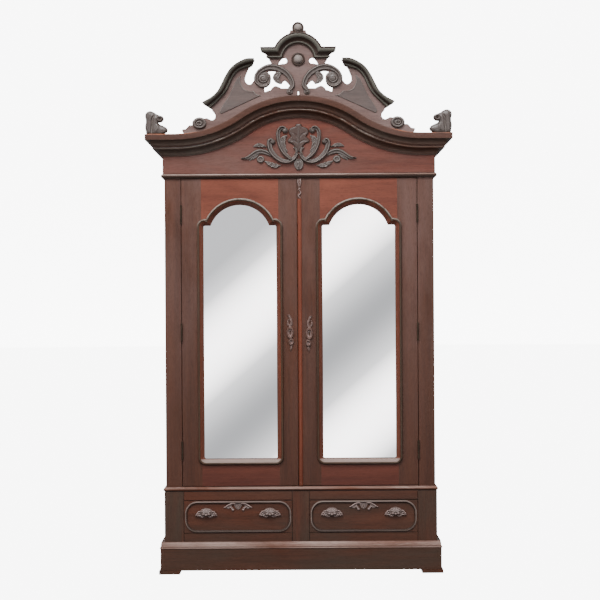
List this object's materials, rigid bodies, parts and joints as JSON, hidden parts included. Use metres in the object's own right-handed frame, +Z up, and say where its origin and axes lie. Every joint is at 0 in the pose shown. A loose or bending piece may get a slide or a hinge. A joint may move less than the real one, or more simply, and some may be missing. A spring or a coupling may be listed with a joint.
{
  "type": "armoire",
  "caption": "Tall two-door mirrored armoire on a drawer base, with an arched cornice, a carved frieze and a pierced carved crest.",
  "frame": {"origin": "middle of the footprint of the whole object, on the floor", "axes": "+X to the right as seen from the front, +Y to the back, +Z up; the doors face -Y"},
  "size_m": [1.498, 0.584, 2.7005],
  "materials": {
    "mahogany": "aged semi-gloss varnish",
    "moulding_wood": "dark aged varnish, worn edges",
    "carved_wood": "dull waxed carving",
    "secondary_wood": "bare planed wood",
    "brass": "tarnished",
    "iron": "dark oiled",
    "mirror": "silvered plate glass"
  },
  "bodies": {
    "case": {"feet": "mahogany", "plinth_boards": "mahogany", "plinth_moulding": "moulding_wood", "base_stiles": "mahogany", "base_rails": "mahogany", "base_panels": "mahogany", "drawer_runners": "secondary_wood", "waist_moulding": "moulding_wood", "cabinet_floor": "mahogany", "front_posts": "mahogany", "side_frames": "mahogany", "side_panels": "mahogany", "back_boards": "secondary_wood", "door_head_rail": "secondary_wood", "case_top": "secondary_wood", "hat_shelf": "secondary_wood", "shelf_cleats": "secondary_wood", "hanging_rod": "mahogany", "post_hinge_leaves": "brass", "frieze_boards": "mahogany", "frieze_bead": "moulding_wood", "cornice_moulding": "moulding_wood", "frieze_carving": "carved_wood", "corner_finials": "carved_wood", "crest_board": "mahogany", "crest_wing_panels": "carved_wood", "crest_swan_mouldings": "moulding_wood", "crest_scrolls": "carved_wood", "crest_hood_moulding": "moulding_wood", "crest_turnings": "carved_wood"},
    "left_door": {"left_door_stiles": "mahogany", "left_door_rails": "mahogany", "left_door_mirror": "mirror", "left_door_moulding": "moulding_wood", "left_door_back": "secondary_wood", "left_door_hinges": "brass", "left_door_escutcheon": "carved_wood", "bolt_plates": "iron"},
    "right_door": {"right_door_stiles": "mahogany", "right_door_rails": "mahogany", "right_door_mirror": "mirror", "right_door_moulding": "moulding_wood", "right_door_back": "secondary_wood", "right_door_hinges": "brass", "right_door_escutcheon": "carved_wood", "astragal": "moulding_wood", "door_lock": "brass"},
    "top_bolt": {"top_bolt": "iron"},
    "bottom_bolt": {"bottom_bolt": "iron"},
    "door_lock_bolt": {"door_lock_bolt": "brass"},
    "left_drawer": {"left_drawer_front": "mahogany", "left_drawer_box": "secondary_wood", "left_drawer_trim": "moulding_wood", "left_drawer_pulls": "carved_wood", "left_drawer_lock": "brass"},
    "right_drawer": {"right_drawer_front": "mahogany", "right_drawer_box": "secondary_wood", "right_drawer_trim": "moulding_wood", "right_drawer_pulls": "carved_wood", "right_drawer_lock": "brass"}
  },
  "joints": [
    {"name": "left_door_hinge", "type": "hinge", "parent": "case", "child": "left_door", "pos_m": [-0.58, -0.2095, 1.183], "axis": [0, 0, -1], "range_deg": [0, 160]},
    {"name": "right_door_hinge", "type": "hinge", "parent": "case", "child": "right_door", "pos_m": [0.58, -0.2095, 1.183], "axis": [0, 0, 1], "range_deg": [0, 160]},
    {"name": "top_bolt_slide", "type": "slide", "parent": "left_door", "child": "top_bolt", "axis": [0, 0, 1], "range_m": [0, 0.018]},
    {"name": "bottom_bolt_slide", "type": "slide", "parent": "left_door", "child": "bottom_bolt", "axis": [0, 0, -1], "range_m": [0, 0.018]},
    {"name": "door_lock_slide", "type": "slide", "parent": "right_door", "child": "door_lock_bolt", "axis": [-1, 0, 0], "range_m": [0, 0.012]},
    {"name": "left_drawer_slide", "type": "slide", "parent": "case", "child": "left_drawer", "axis": [0, -1, 0], "range_m": [0, 0.38]},
    {"name": "right_drawer_slide", "type": "slide", "parent": "case", "child": "right_drawer", "axis": [0, -1, 0], "range_m": [0, 0.38]}
  ]
}
